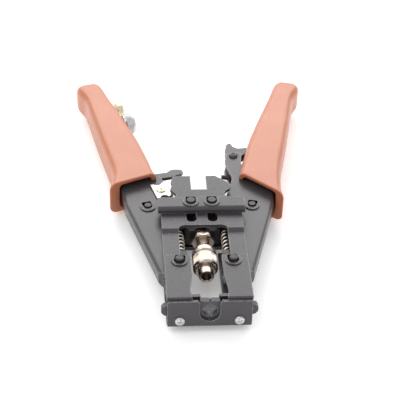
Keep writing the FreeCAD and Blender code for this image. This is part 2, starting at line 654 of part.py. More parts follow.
MOUTH_LEFT = (15.9, 75.0)
MOUTH_RIGHT = (15.9, 64.2)

WEB = [(11.6, 62.0), (6.7, 95.0), (5.7, 116.0), (4.5, 135.0), (3.0, 155.0), (1.9, 173.0), (1.9, 183.0)]
FLANGE_FRONT = [(11.6, 0.5), (9.0, -3.5), (3.5, -5.0), (0, -5.6), (-3.6, -4.2), (-5.3, -1.2), (-5.2, 2.2),
                (-3.0, 5.2), (1.0, 7.6), (3.8, 11.0), (-6.4, 50.0), (-7.4, 55.2)]
FLANGE_INNER = [(-9.5, 112.0), (-8.6, 139.0), (-6.6, 170.0), (-6.0, 183.0)]
ARM_LEFT = [(-14.6, 58.2), (-15.9, 59.8), (-15.9, 81.0), (-15.2, 82.6), (-13.4, 83.6), (-9.0, 92.0)]
ARM_RIGHT = [(-14.6, 58.2), (-15.9, 59.8), (-15.9, 77.8), (-17.2, 81.7), (-22.3, 91.9), (-23.8, 95.3),
             (-24.2, 104.4), (-20.0, 105.8), (-15.9, 106.2), (-14.6, 100.0), (-13.9, 94.6), (-9.0, 94.6)]


def handle_channel(side, tag):
    """Pressed channel: outer web, two flanges, pivot eyes and the arm beside the grip."""
    body = body_of("handle_channel_" + tag)
    arm = ARM_RIGHT if side > 0 else ARM_LEFT
    outline = FLANGE_FRONT + arm + FLANGE_INNER + WEB[::-1]
    pad(body, sketch_on(body, "XY_Plane", d["channel_low"], [mirror(outline, side)]), "Dims.channel_high")
    wall, low, high = d["channel_wall"], d["channel_low"], d["channel_high"]
    inside = [(x - wall, y) for x, y in WEB] + [(-60, 190), (-60, -20), (9.6, -20)]
    pocket(body, sketch_on(body, "XY_Plane", low + high - wall, [mirror(inside, side)]),
           "Dims.channel_high - 2 * Dims.channel_wall")
    skins = (low, low + high)
    round_edges(body, 2.4, lambda e: any(abs(e.BoundBox.ZMin - z) < 1e-3 for z in skins)
                and e.BoundBox.ZLength < 1e-3 and e.BoundBox.YLength > 20
                and side * e.BoundBox.Center.x > 8.9)
    body.Label = "channel_blank_" + tag
    tools = [rod("channel_fulcrum_" + tag, (0, 0, -5), "Dims.fulcrum_r + Dims.fit_gap", 30),
             rod("channel_link_" + tag, (0, d["throw_r"], -5), "Dims.link_pin_r", 30)]
    if side > 0:
        tools.append(rod("channel_latch", LATCH_PIVOT + (-5,), "Dims.jaw_pin_r", 30))
    else:
        tools.append(rod("channel_catch", (-CATCH_PIVOT[0], CATCH_PIVOT[1], -5), "Dims.jaw_pin_r", 30))
        tools.append(rod("channel_blade", (-BLADE_SCREW[0], BLADE_SCREW[1], 8), "Dims.jaw_pin_r", 30))
    for along in (SPARE_STUDS if side < 0 else ()):
        tools.append(rod("channel_stud_%d" % along, (-20, along, d["axis_z"]), "Dims.link_pin_r", 40,
                         V(1, 0, 0)))
    return keep(cut("handle_channel_" + tag, body, tools), handle_place(side))


def ring(y, inner, outer, inset, corner):
    """Rounded rectangle across the handle, as a wire."""
    low = d["grip_low"] - inset
    high = d["grip_low"] + d["grip_high"] + inset
    r = min(corner, (outer - inner) / 2 - 0.3, (high - low) / 2 - 0.3)
    face = Part.makePlane(outer - inner, high - low, V(inner, y, low), V(0, -1, 0), V(1, 0, 0))
    solid = face.extrude(V(0, 1, 0))
    ends = [e for e in solid.Edges if abs(e.BoundBox.YLength - 1.0) < 1e-6]
    rounded = solid.makeFillet(r, ends)
    cap = next(f for f in rounded.Faces if f.BoundBox.YLength < 1e-6 and abs(f.BoundBox.YMin - y) < 1e-6)
    return cap.OuterWire


def grip(side, tag):
    """Dipped sleeve: lofted through rounded sections, hollow for the channel, with a slanted mouth."""
    bell = BELL_RIGHT if side > 0 else BELL_LEFT
    outer = Part.makeLoft([ring(*s, corner=4.5) for s in bell + GRIP], True, False)
    cavity = Part.makeLoft([ring(*s, corner=0.3) for s in CAVITY], True, True)
    shape = outer.cut(cavity)
    (x0, y0), (x1, y1) = MOUTH_INNER, (MOUTH_RIGHT if side > 0 else MOUTH_LEFT)
    slope = (y1 - y0) / (x1 - x0)
    far = 40
    lip = Part.Face(Part.makePolygon([
        V(-far, 30, -20), V(far, 30, -20), V(far, y0 + slope * (far - x0), -20),
        V(-far, y0 - slope * (far + x0), -20), V(-far, 30, -20)]))
    shape = shape.cut(lip.extrude(V(0, 0, 60)))
    reach = 99.0 if side > 0 else 94.0
    slot = Part.makeBox(26, reach - 70, d["channel_high"] + 0.6, V(-30, 70, d["channel_low"] - 0.3))
    shape = shape.cut(slot)
    if side < 0:
        for along in SPARE_STUDS:
            shape = shape.cut(Part.makeCylinder(d["link_pin_r"] + 0.1, 16, V(-20, along, d["axis_z"]),
                                                V(1, 0, 0)))
        shape = shape.mirror(V(0, 0, 0), V(1, 0, 0))
    obj = doc.addObject("Part::Feature", "grip_" + tag)
    obj.Label = "grip_" + tag
    obj.Shape = shape
    return keep(obj, handle_place(side))


def link_pin(side, tag):
    shank = rod("link_pin_shank_" + tag, (0, d["throw_r"], d["channel_low"] - 0.1), "Dims.link_pin_r",
                d["channel_high"] + 1.7)
    head = rod("link_pin_head_" + tag, (0, d["throw_r"], d["channel_low"] - 1.4), "Dims.head_r", 1.4)
    return keep(fuse("link_pin_" + tag, [shank, head]), handle_place(side))


def link_clip(side, tag):
    top = d["channel_low"] + d["channel_high"]
    clip = e_clip("link_clip_" + tag, (0, d["throw_r"], top), "link_pin_r")
    return keep(clip, handle_place(side))


def cutter_blade():
    """Indexable cutting plate with hollowed sides, on the left handle."""
    body = body_of("cutter_blade")
    top = d["channel_low"] + d["channel_high"]
    outline = [(-16.8, 60.6), (-7.2, 60.6), (-7.2, 74.4), (-16.8, 74.4)]
    pad(body, sketch_on(body, "XY_Plane", top, [mirror(outline, -1)]), "Dims.blade_thick")
    pocket(body, sketch_on(body, "XY_Plane", top + 5,
                           [("circle", -BLADE_SCREW[0], BLADE_SCREW[1], "jaw_pin_r")]), "20")
    middle_x, middle_y = BLADE_SCREW
    hollows = [("circle", -middle_x, middle_y + s * 7.6, "rod_r") for s in (-1, 1)]
    hollows += [("circle", -middle_x + s * 6.8, middle_y, "rod_r") for s in (-1, 1)]
    pocket(body, sketch_on(body, "XY_Plane", top + 5, hollows), "20")
    return keep(body, handle_place(-1))


def blade_screw():
    top = d["channel_low"] + d["channel_high"]
    skin = top + d["blade_thick"]
    x, y = -BLADE_SCREW[0], BLADE_SCREW[1]
    shank = rod("blade_screw_shank", (x, y, top - 2.6), "Dims.jaw_pin_r", 4.0)
    head = rod("blade_screw_head", (x, y, skin), "Dims.jaw_head_r", 0.85)
    solid = fuse("blade_screw_blank", [shank, head])
    bars = cross_recess("blade_recess", (x, y, skin + 0.85), V(0, 0, 1), 3.2, 0.5)
    return keep(cut("blade_screw", solid, bars), handle_place(-1))


def catch_rivet():
    x, y = -CATCH_PIVOT[0], CATCH_PIVOT[1]
    return keep(fuse("catch_rivet", [
        rod("catch_rivet_shank", (x, y, d["channel_low"] - 0.1), "Dims.jaw_pin_r", d["channel_high"] + 0.2),
        rod("catch_rivet_head", (x, y, d["channel_low"] + d["channel_high"]), "Dims.jaw_head_r", 0.8)]),
        handle_place(-1))


def catch_lever():
    """Flat lever that reaches from the left handle towards the right handle's stud."""
    body = body_of("catch_lever_blank")
    outline = [(-3.4, 83.4), (-22.4, 82.9), (-29.4, 84.0), (-31.2, 85.6), (-31.2, 87.3), (-30.0, 88.7),
               (-27.1, 89.7), (-24.7, 89.7), (-21.7, 87.9), (-15.9, 88.4), (-3.4, 88.4)]
    pad(body, sketch_on(body, "XY_Plane", d["lever_low"], [mirror(outline, -1)]), "Dims.lever_thick")
    bore = rod("catch_lever_bore", (-CATCH_PIVOT[0], CATCH_PIVOT[1], 0), "Dims.jaw_pin_r + Dims.fit_gap", 20)
    return keep(cut("catch_lever", body, [bore]), handle_place(-1))


def spare_studs():
    studs = [rod("spare_stud_%d" % along, (-1.8, along, d["axis_z"]), "Dims.link_pin_r", 16.8, V(1, 0, 0))
             for along in SPARE_STUDS]
    return keep(group("spare_studs", studs), handle_place(-1))


def spare_adapter(label, along, profile):
    """A spare plunger tip stored on the left handle, its mouth towards the tool's middle."""
    body = turned(label, profile)
    turn = FreeCAD.Rotation(V(0, 1, 0), V(1, 0, 0))
    spot = FreeCAD.Placement(V(0, along, d["axis_z"]), turn)
    return keep(body, handle_place(-1).multiply(spot))


def latch_screw():
    x, y = LATCH_PIVOT
    top = d["channel_low"] + d["channel_high"]
    shank = rod("latch_screw_shank", (x, y, d["channel_low"] - 2.2), "Dims.jaw_pin_r",
                d["channel_high"] + 2.4)
    head = rod("latch_screw_head", (x, y, top), "Dims.jaw_head_r", 1.7)
    bars = cross_recess("latch_recess", (x, y, top + 1.7), V(0, 0, 1), 3.2, 0.7)
    return keep(cut("latch_screw", fuse("latch_screw_blank", [shank, head]), bars), handle_place(1))


def latch_nut():
    x, y = LATCH_PIVOT
    prism = named("Part::Prism", "latch_nut_prism")
    prism.Polygon = 6
    prism.Circumradius = 3.1
    prism.Height = 2.2
    prism.Placement = FreeCAD.Placement(V(x, y, d["channel_low"] - 2.2), FreeCAD.Rotation())
    hole = rod("latch_nut_hole", (x, y, -5), "Dims.jaw_pin_r", 20)
    return keep(cut("latch_nut", prism, [hole]), handle_place(1))


def latch_lever():
    """Hooked lever between the right handle's arms."""
    body = body_of("latch_lever_blank")
    outline = [(-16.4, 100.0), (-18.2, 98.2), (-21.4, 98.2), (-23.4, 100.4), (-24.8, 105.0), (-26.6, 110.0),
               (-27.0, 116.2), (-25.5, 118.2), (-24.2, 117.4), (-22.6, 115.0), (-19.6, 114.0),
               (-17.0, 114.8), (-15.2, 116.0), (-13.9, 115.8), (-13.9, 110.0), (-15.6, 107.0)]
    pad(body, sketch_on(body, "XY_Plane", d["latch_low"], [outline]), "Dims.latch_thick")
    bore = rod("latch_lever_bore", LATCH_PIVOT + (0,), "Dims.jaw_pin_r + Dims.fit_gap", 20)
    return keep(cut("latch_lever", body, [bore]), handle_place(1))


def catch_stud():
    """Spacer between the right handle's flanges with the stud that the catch lever hooks."""
    low, wall = d["channel_low"], d["channel_wall"]
    spacer = box("stud_spacer", (-16.0, 84.6, low + wall), (5.0, 4.8, d["channel_high"] - 2 * wall))
    trim = box("stud_spacer_trim", (-20, 80, d["stud_z"] + 1.3), (20, 20, 20))
    stud = rod("stud_rod", (-23.8, 87.0, d["stud_z"]), "Dims.stud_r", 9.0, V(1, 0, 0))
    return keep(fuse("catch_stud", [cut("stud_spacer_low", spacer, [trim]), stud]), handle_place(1))


# ================================================================ build
SPARE_WIDE = [(-19.8, 2.9), (-19.8, 5.6), (-19.2, 6.2), (-18.0, 6.8), (-14.2, 6.8), (-13.6, 6.2),
              (-12.9, 6.0), (-12.9, 2.0), (-15.2, 2.0), (-15.2, 2.9)]
SPARE_SLIM = [(-17.8, 2.2), (-17.8, 3.6), (-17.2, 4.2), (-14.6, 4.2), (-14.0, 5.2), (-11.0, 5.2),
              (-11.0, 2.0), (-14.4, 2.0), (-14.4, 2.2)]

nose_frame()
front_plate()
front_screws()
frame_plate("frame_plate_top", 1)
frame_plate("frame_plate_bottom", -1)
spring_seats()
spring_guides()
pivot_clips()
crosshead_block()
bridge("bridge_top", 1)
bridge("bridge_bottom", -1)
crosshead_pins()
crosshead_clips()
plunger_rod()
lock_nut()
adapter_core()
knurled_sleeve()
for side, tag in ((-1, "left"), (1, "right")):
    pivot_pin(side, tag)
    jaw(side, tag)
    jaw_spring(side, tag)
    return_spring(side, tag)
    link(side, tag)
    handle_channel(side, tag)
    grip(side, tag)
    link_pin(side, tag)
    link_clip(side, tag)
cutter_blade()
blade_screw()
catch_rivet()
catch_lever()
spare_studs()
spare_adapter("spare_adapter_wide", 149, [(-y, r) for y, r in SPARE_WIDE])
spare_adapter("spare_adapter_slim", 167, [(-y, r) for y, r in SPARE_SLIM])
latch_screw()
latch_nut()
latch_lever()
catch_stud()

doc.recompute()
for obj in doc.Objects:
    if "Invalid" in obj.State or "Error" in obj.State:
        raise RuntimeError("%s did not recompute: %s" % (obj.Label, obj.State))
os.makedirs("parts", exist_ok=True)
for part in PARTS:
    shape = part.Shape
    if shape.isNull() or not shape.isValid() or not shape.Solids:
        raise RuntimeError(part.Label + " has no valid shape")
    shape.exportStep("parts/%s.step" % part.Label)
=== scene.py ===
import json
import math

import bmesh
import bpy
from mathutils import Matrix, Vector

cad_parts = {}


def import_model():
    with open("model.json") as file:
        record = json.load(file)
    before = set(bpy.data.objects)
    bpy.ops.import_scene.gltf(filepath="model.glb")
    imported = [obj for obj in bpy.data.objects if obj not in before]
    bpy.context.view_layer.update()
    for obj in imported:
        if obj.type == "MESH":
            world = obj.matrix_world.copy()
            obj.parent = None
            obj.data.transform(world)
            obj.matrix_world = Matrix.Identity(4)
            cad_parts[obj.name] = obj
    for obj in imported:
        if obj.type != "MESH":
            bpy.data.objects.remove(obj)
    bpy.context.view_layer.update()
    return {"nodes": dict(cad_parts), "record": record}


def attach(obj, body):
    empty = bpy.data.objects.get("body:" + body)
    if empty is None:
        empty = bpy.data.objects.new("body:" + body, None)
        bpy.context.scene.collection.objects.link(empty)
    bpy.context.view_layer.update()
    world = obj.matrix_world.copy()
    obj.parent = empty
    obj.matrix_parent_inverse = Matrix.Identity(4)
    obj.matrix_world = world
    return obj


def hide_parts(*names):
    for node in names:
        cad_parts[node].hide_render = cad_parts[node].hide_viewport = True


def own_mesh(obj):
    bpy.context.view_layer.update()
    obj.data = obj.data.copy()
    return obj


# Looks for the coaxial crimping tool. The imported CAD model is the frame; small hardware, springs,
# knurls, threads and the moulded grips are rebuilt here in finer detail.
# Sizes are in millimetres in the tool's own frame: X across, Y from the nose to the handles, Z up.

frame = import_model()
nodes = frame["nodes"]
record = frame["record"]

# NOSE_Y and BASE_Z place the tool's origin in the scene. FULCRUM is where a handle turns, and
# OPEN_ANGLE is how far each handle stands open at rest.
MM = 0.001
NOSE_Y = -107.8
BASE_Z = 4.0
AXIS_Z = 9.0
FULCRUM = (14.3, 31.3)
OPEN_ANGLE = math.radians(15.9)
SIDES = ((-1, "left"), (1, "right"))
FRAME_TOP = 18.0


def spot(x, y, z):
    """A point of the tool's frame, as a place in the scene."""
    return Vector((x, y + NOSE_Y, z + BASE_Z)) * MM


def on_handle(side, x, y, z):
    """A point of a handle's own frame: origin at its fulcrum, Y along the handle, X outwards."""
    across = FULCRUM[0] + x * math.cos(OPEN_ANGLE) + y * math.sin(OPEN_ANGLE)
    along = FULCRUM[1] - x * math.sin(OPEN_ANGLE) + y * math.cos(OPEN_ANGLE)
    return spot(side * across, along, z)


# ================================================================ mesh helpers
def finish_mesh(name, bm, sharp=math.radians(32)):
    """Turns a bmesh into an object: doubles merged, normals outwards, creases sharp."""
    bmesh.ops.remove_doubles(bm, verts=bm.verts, dist=1e-6)
    bmesh.ops.recalc_face_normals(bm, faces=bm.faces)
    for face in bm.faces:
        face.smooth = True
    for edge in bm.edges:
        edge.smooth = len(edge.link_faces) == 2 and edge.calc_face_angle(0.0) < sharp
    mesh = bpy.data.meshes.new(name)
    bm.to_mesh(mesh)
    bm.free()
    obj = bpy.data.objects.new(name, mesh)
    bpy.context.scene.collection.objects.link(obj)
    return obj


def skin(bm, rings, closed=False):
    """Quads between neighbouring rings of points; closed joins the last ring to the first."""
    rows = [[bm.verts.new(p) for p in ring] for ring in rings]
    pairs = list(zip(rows, rows[1:]))
    if closed:
        pairs.append((rows[-1], rows[0]))
    for row, after in pairs:
        count = len(row)
        for i in range(count):
            j = (i + 1) % count
            bm.faces.new((row[i], row[j], after[j], after[i]))
    return rows


def lathe(bm, profile, place, steps=64, teeth=0, depth=0.0, toothed=()):
    """Turns an (along, radius) profile about the axis of place.
    A profile that ends off the axis is closed up between its ends, and one that ends on it isn't.
    teeth cuts a straight knurl depth deep into the profile points numbered in toothed."""
    count = teeth * 4 if teeth else steps
    rings = []
    for number, (along, radius) in enumerate(profile):
        ring = []
        for i in range(count):
            turn = 2 * math.pi * i / count
            cut = depth * (i % 4 in (0, 1)) if number in toothed else 0.0
            r = max(radius - cut, 0.0)
            ring.append(place @ Vector((r * math.cos(turn), r * math.sin(turn), along)))
        rings.append(ring)
    skin(bm, rings, closed=min(profile[0][1], profile[-1][1]) > 0)


def along_y(x, y, z):
    """Place for a turned piece whose axis runs towards the handles."""
    move = Matrix.Translation(spot(x, y, z))
    return move @ Matrix.Rotation(-math.pi / 2, 4, "X") @ Matrix.Scale(MM, 4)


def along_z(point):
    """Place for a turned or flat piece that stands upright on a scene point."""
    return Matrix.Translation(point) @ Matrix.Scale(MM, 4)


def slab(bm, outline, low, high, place, chamfer):
    """A flat plate with its long edges chamfered, from a closed outline in the place's XY plane."""
    levels = ((low, chamfer), (low + chamfer, 0), (high - chamfer, 0), (high, chamfer))
    rows = []
    for z, inset in levels:
        ring = []
        for i, p in enumerate(outline):
            before, after = Vector(outline[i - 1]), Vector(outline[(i + 1) % len(outline)])
            tangent = (after - before).normalized()
            inward = Vector((-tangent.y, tangent.x))
            if area(outline) < 0:
                inward = -inward
            q = Vector(p) + inward * inset
            ring.append(place @ Vector((q.x, q.y, z)))
        rows.append(ring)
    rows = skin(bm, rows)
    bm.faces.new(rows[0])
    bm.faces.new(rows[-1])


def area(outline):
    """Signed area, positive when the outline runs anticlockwise."""
    total = 0.0
    for i, (x, y) in enumerate(outline):
        before = outline[i - 1]
        total += before[0] * y - x * before[1]
    return total / 2


def arc(cx, cy, radius, start, end, steps):
    """Points on an arc, angles in degrees."""
    return [(cx + radius * math.cos(math.radians(start + (end - start) * i / steps)),
             cy + radius * math.sin(math.radians(start + (end - start) * i / steps)))
            for i in range(steps + 1)]


def wire_coil(bm, place, radius, wire, length, turns, dead=0.75, around=10, per_turn=28):
    """A compression spring from 0 to length along the place's axis; radius is to the wire's centre.
    dead is how much of a turn is closed up at each end, and around is the wire's number of sides."""
    total = int(turns * per_turn)
    path = []
    for i in range(total + 1):
        turn = i / per_turn
        shut_low = min(turn, dead)
        shut_high = min(turns - turn, dead)
        free = (turn - shut_low - (dead - shut_high)) / (turns - 2 * dead)
        body_length = length - 2 * dead * wire - wire
        along = wire / 2 + shut_low * wire + free * body_length + (dead - shut_high) * wire
        angle = 2 * math.pi * turn
        path.append(Vector((radius * math.cos(angle), radius * math.sin(angle), along)))
    rings = []
    for i, point in enumerate(path):
        tangent = (path[min(i + 1, total)] - path[max(i - 1, 0)]).normalized()
        outward = Vector((point.x, point.y, 0)).normalized()
        other = tangent.cross(outward).normalized()
        ring = []
        for k in range(around):
            angle = 2 * math.pi * k / around
            side = outward * math.cos(angle) + other * math.sin(angle)
            ring.append(place @ (point + side * wire / 2))
        rings.append(ring)
    rows = skin(bm, rings)
    bm.faces.new(rows[0])
    bm.faces.new(rows[-1])


def carve(obj, cutter):
    """Cuts cutter out of obj for good, then deletes the cutter."""
    modifier = obj.modifiers.new("carve", "BOOLEAN")
    modifier.operation = "DIFFERENCE"
    modifier.solver = "EXACT"
    modifier.object = cutter
    bpy.context.view_layer.update()
    carved = bpy.data.meshes.new_from_object(obj.evaluated_get(bpy.context.evaluated_depsgraph_get()))
    obj.modifiers.remove(modifier)
    obj.data = carved
    bpy.data.objects.remove(cutter)


def piece(obj, body, slot_name, material, *replaced):
    """Finishes a new piece: its material, the body it rides on and the nodes it stands for."""
    obj.data.materials.clear()
    obj.data.materials.append(material)
    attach(obj, body)
    if replaced:
        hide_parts(*replaced)
    return obj


# ================================================================ materials
def linear(red, green, blue):
    """An sRGB colour, 0 to 255, as linear values with alpha."""
    def one(value):
        value /= 255
        return value / 12.92 if value <= 0.04045 else ((value + 0.055) / 1.055) ** 2.4
    return (one(red), one(green), one(blue), 1.0)


def shade(colour, factor):
    """A lighter or darker copy of a linear colour."""
    return tuple(min(c * factor, 1.0) for c in colour[:3]) + (1.0,)


class Nodes:
    """A small wrapper that keeps a material's node code short."""

    def __init__(self, name):
        self.material = bpy.data.materials.new(name)
        self.material.use_nodes = True
        self.tree = self.material.node_tree
        self.shader = self.tree.nodes["Principled BSDF"]
        self.coords = self.tree.nodes.new("ShaderNodeTexCoord").outputs["Object"]

    def add(self, kind):
        """A new node of this kind."""
        return self.tree.nodes.new(kind)

    def link(self, output, target):
        """Joins an output to an input."""
        self.tree.links.new(output, target)

    def noise(self, scale, detail=3.0, rough=0.5):
        """Noise over the object, in features per metre."""
        node = self.add("ShaderNodeTexNoise")
        node.inputs["Scale"].default_value = scale
        node.inputs["Detail"].default_value = detail
        node.inputs["Roughness"].default_value = rough
        self.link(self.coords, node.inputs["Vector"])
        return node.outputs["Fac"]

    def spread(self, source, low, high, from_low=0.3, from_high=0.7):
        """Maps an output's from range onto low to high; the ends hold beyond it."""
        node = self.add("ShaderNodeMapRange")
        node.inputs["From Min"].default_value = from_low
        node.inputs["From Max"].default_value = from_high
        node.inputs["To Min"].default_value = low
        node.inputs["To Max"].default_value = high
        self.link(source, node.inputs["Value"])
        return node.outputs["Result"]

    def blend(self, factor, first, second):
        """Colour between first and second; each is a colour or an output."""
        node = self.add("ShaderNodeMix")
        node.data_type = "RGBA"
        self.link(factor, node.inputs["Factor"])
        for socket, value in ((node.inputs[6], first), (node.inputs[7], second)):
            if isinstance(value, tuple):
                socket.default_value = value
            else:
                self.link(value, socket)
        return node.outputs[2]

    def edges(self, radius, low=0.02, high=0.22):
        """Near 1 within radius (metres) of an edge, convex or concave, and 0 on flat faces.
        low and high are how far the rounded normal has to turn for 0 and for 1."""
        bevel = self.add("ShaderNodeBevel")
        bevel.samples = 4
        bevel.inputs["Radius"].default_value = radius
        geometry = self.add("ShaderNodeNewGeometry")
        dot = self.add("ShaderNodeVectorMath")
        dot.operation = "DOT_PRODUCT"
        self.link(bevel.outputs["Normal"], dot.inputs[0])
        self.link(geometry.outputs["Normal"], dot.inputs[1])
        return self.spread(dot.outputs["Value"], 1.0, 0.0, 1.0 - high, 1.0 - low)

    def bump(self, source, distance, strength):
        """A normal that treats source as a height map, distance metres high."""
        node = self.add("ShaderNodeBump")
        node.inputs["Distance"].default_value = distance
        node.inputs["Strength"].default_value = strength
        self.link(source, node.inputs["Height"])
        return node.outputs["Normal"]

    def set(self, **values):
        """Sets shader inputs by name, with underscores for spaces."""
        for key, value in values.items():
            self.shader.inputs[key.replace("_", " ")].default_value = value


def paint(name, colour, edge_highlight_tone, rough=0.38):
    """Satin paint on sheet metal: faint orange peel and mottling, with a painted highlight that lightens the
    edges in patches.
    """
    m = Nodes(name)
    mottle = m.noise(260, 4.0, 0.6)
    base = m.blend(m.spread(mottle, 0.0, 1.0), shade(colour, 0.955), shade(colour, 1.045))
    # Painted highlight: the edges are blended towards a pale tone, in patches, to stand for the light lines
    # along the sheet edges.
    highlight_patches = m.spread(m.noise(900, 5.0, 0.7), 0.15, 1.0, 0.42, 0.6)
    edge = m.edges(0.0006, 0.01, 0.1)
    edge_highlight_mask = m.add("ShaderNodeMath")
    edge_highlight_mask.operation = "MULTIPLY"
    m.link(edge, edge_highlight_mask.inputs[0])
    m.link(highlight_patches, edge_highlight_mask.inputs[1])
    m.link(m.blend(edge_highlight_mask.outputs[0], base, edge_highlight_tone), m.shader.inputs["Base Color"])
    m.link(m.spread(m.noise(500, 3.0), rough - 0.05, rough + 0.06), m.shader.inputs["Roughness"])
    m.link(m.bump(m.noise(2600, 2.0), 0.00002, 0.55), m.shader.inputs["Normal"])
    m.set(Specular_IOR_Level=0.5)
    return m.material


def metal(name, colour, rough, grain=0.0):
    """Plated or bare steel: fine grain, faint stains and slightly uneven gloss."""
    m = Nodes(name)
    cloud = m.spread(m.noise(420, 4.0, 0.6), 0.0, 1.0)
    m.link(m.blend(cloud, shade(colour, 0.93), colour), m.shader.inputs["Base Color"])
    m.link(m.spread(m.noise(1400, 3.0), rough * 0.8, rough * 1.25), m.shader.inputs["Roughness"])
    if grain:
        m.link(m.bump(m.noise(7000, 2.0), 0.00001, grain), m.shader.inputs["Normal"])
    m.set(Metallic=1.0)
    return m.material


def black_oxide(name, colour, rough=0.38):
    """Blackened steel with a dull sheen; its colour is four times lighter along every edge."""
    m = Nodes(name)
    cloud = m.spread(m.noise(700, 4.0, 0.65), 0.0, 1.0)
    base = m.blend(cloud, shade(colour, 0.8), shade(colour, 1.2))
    m.link(m.blend(m.edges(0.0003), base, shade(colour, 4.0)), m.shader.inputs["Base Color"])
    m.link(m.spread(m.noise(1500, 3.0), rough - 0.06, rough + 0.08), m.shader.inputs["Roughness"])
    m.link(m.bump(m.noise(5000, 2.0), 0.00001, 0.4), m.shader.inputs["Normal"])
    m.set(Metallic=0.1)
    return m.material


def moulded_pvc(name, colour, pale):
    """Soft dipped PVC: slight cloudiness, satin skin with a bloom and very fine texture."""
    m = Nodes(name)
    cloud = m.spread(m.noise(60, 3.0, 0.5), 0.0, 1.0)
    m.link(m.blend(cloud, colour, pale), m.shader.inputs["Base Color"])
    m.link(m.spread(m.noise(350, 3.0), 0.32, 0.42), m.shader.inputs["Roughness"])
    m.link(m.bump(m.noise(4200, 2.0), 0.00002, 0.35), m.shader.inputs["Normal"])
    m.set(Subsurface_Weight=0.12, Subsurface_Scale=0.0015, Specular_IOR_Level=0.6)
    m.shader.inputs["Subsurface Radius"].default_value = (1.0, 0.35, 0.2)
    return m.material


# The pale second colour of each paint is the tone of its painted edge highlight.
frame_paint = paint("frame_paint", linear(62, 59, 62), linear(186, 183, 185))
handle_paint = paint("handle_paint", linear(64, 61, 64), linear(186, 183, 185), 0.32)
jaw_paint = paint("jaw_paint", linear(64, 62, 65), linear(140, 138, 141), 0.46)
black_steel = black_oxide("black_steel", linear(40, 37, 39))
spring_steel = metal("spring_steel", linear(236, 226, 214), 0.32)
zinc = metal("zinc", linear(206, 206, 208), 0.36, 0.25)
nickel = metal("nickel", linear(196, 183, 170), 0.27, 0.15)
blade_steel = metal("blade_steel", linear(196, 189, 184), 0.4, 0.5)
brass = metal("brass", linear(226, 211, 184), 0.26, 0.2)
grip_pvc = moulded_pvc("grip_pvc", linear(180, 108, 76), linear(186, 115, 82))

FINISHES = {
    "frame_paint": frame_paint, "handle_paint": handle_paint, "jaw_paint": jaw_paint,
    "black_steel": black_steel, "spring_steel": spring_steel, "zinc": zinc, "nickel": nickel,
    "blade_steel": blade_steel, "brass": brass, "grip_pvc": grip_pvc}
EDGE_ROUND = {"cutter_blade": 0.12, "jaw_left": 0.3, "jaw_right": 0.3, "catch_lever": 0.3,
              "latch_lever": 0.35}

for part in record["subparts"]:
    node = nodes[part["node"]]
    node.data.materials.clear()
    node.data.materials.append(FINISHES[part["material_slot"]])
    weld = node.modifiers.new("weld", "WELD")
    weld.merge_threshold = 2e-6
    flat = node.modifiers.new("flat", "DECIMATE")
    flat.decimate_type = "DISSOLVE"
    flat.angle_limit = math.radians(0.5)
    soften = node.modifiers.new("soften", "BEVEL")
    soften.width = EDGE_ROUND.get(part["node"], 0.22) * MM
    soften.segments = 3
    soften.limit_method = "ANGLE"
    soften.angle_limit = math.radians(38)
    soften.use_clamp_overlap = True
    soften.harden_normals = False
    even = node.modifiers.new("even", "WEIGHTED_NORMAL")
    even.keep_sharp = True


# ================================================================ plunger
def knurled_sleeve():
    """Adapter sleeve with a fine straight knurl between two smooth rims."""
    profile = [(34.0, 4.15), (34.0, 5.5), (34.35, 6.15), (35.0, 6.55)]
    profile += [(35.2, 6.7), (35.45, 6.7), (42.9, 6.7), (43.15, 6.7)]
    profile += [(43.5, 6.55), (43.9, 6.2), (43.9, 4.15)]
    bm = bmesh.new()
    lathe(bm, profile, along_y(0, 0, AXIS_Z), teeth=62, depth=0.24, toothed=(5, 6))
    obj = finish_mesh("sleeve_knurl", bm, math.radians(40))
    return piece(obj, "sleeve", "nickel", nickel, "knurled_sleeve")


def adapter_core():
    """Turned tube with its connector bore, then the domed collar and the neck into the lock nut."""
    profile = [(28.2, 3.0), (28.2, 3.7), (28.28, 3.95), (28.5, 4.08), (28.7, 4.1), (43.9, 4.1), (44.2, 4.1),
               (44.2, 5.9), (44.4, 6.3), (44.75, 6.6), (45.1, 6.7), (46.6, 6.7)]
    for i in range(1, 11):
        bend = math.pi / 2 * i / 10
        profile.append((46.6 + 3.9 * math.sin(bend), 4.15 + 2.55 * math.cos(bend)))
    profile += [(50.6, 3.75), (50.9, 3.6), (56.9, 3.6), (57.15, 3.4), (57.15, 2.55)]
    profile += [(45.0, 2.55), (45.0, 0.0)]
    profile = [(38.4, 0.0), (37.2, 2.65), (28.5, 2.65)] + profile
    bm = bmesh.new()
    lathe(bm, profile, along_y(0, 0, AXIS_Z), steps=72)
    obj = finish_mesh("adapter_tube", bm, math.radians(30))
    return piece(obj, "adapter", "nickel", nickel, "adapter_core")


def lock_nut():
    """Hexagonal nut, one flat up, with its corners turned off and a chamfered thread mouth."""
    flats, front, rear = 11.6, 57.2, 62.0
    corner = flats / math.sqrt(3)
    count = 72
    levels = [(front, flats / 2 - 0.35, "turned"), (front, flats / 2 + 0.05, "turned"),
              (front + 0.65, corner, "hex"), (rear - 0.65, corner, "hex"),
              (rear, flats / 2 + 0.05, "turned"), (rear, 3.0, "round"), (rear - 0.45, 2.56, "round"),
              (front + 0.45, 2.56, "round"), (front, 3.0, "round")]
    place = along_y(0, 0, AXIS_Z)
    rings = []
    for y, reach, kind in levels:
        ring = []
        for i in range(count):
            turn = 2 * math.pi * i / count
            nearest = (turn + math.pi / 6) % (math.pi / 3) - math.pi / 6
            side = flats / 2 / math.cos(nearest)
            r = reach if kind == "round" else min(reach, side)
            angle = turn + math.pi / 2
            ring.append(place @ Vector((r * math.cos(angle), r * math.sin(angle), y)))
        rings.append(ring)
    bm = bmesh.new()
    skin(bm, rings, closed=True)
    obj = finish_mesh("lock_nut_hex", bm, math.radians(25))
    return piece(obj, "lock_nut", "nickel", nickel, "lock_nut")


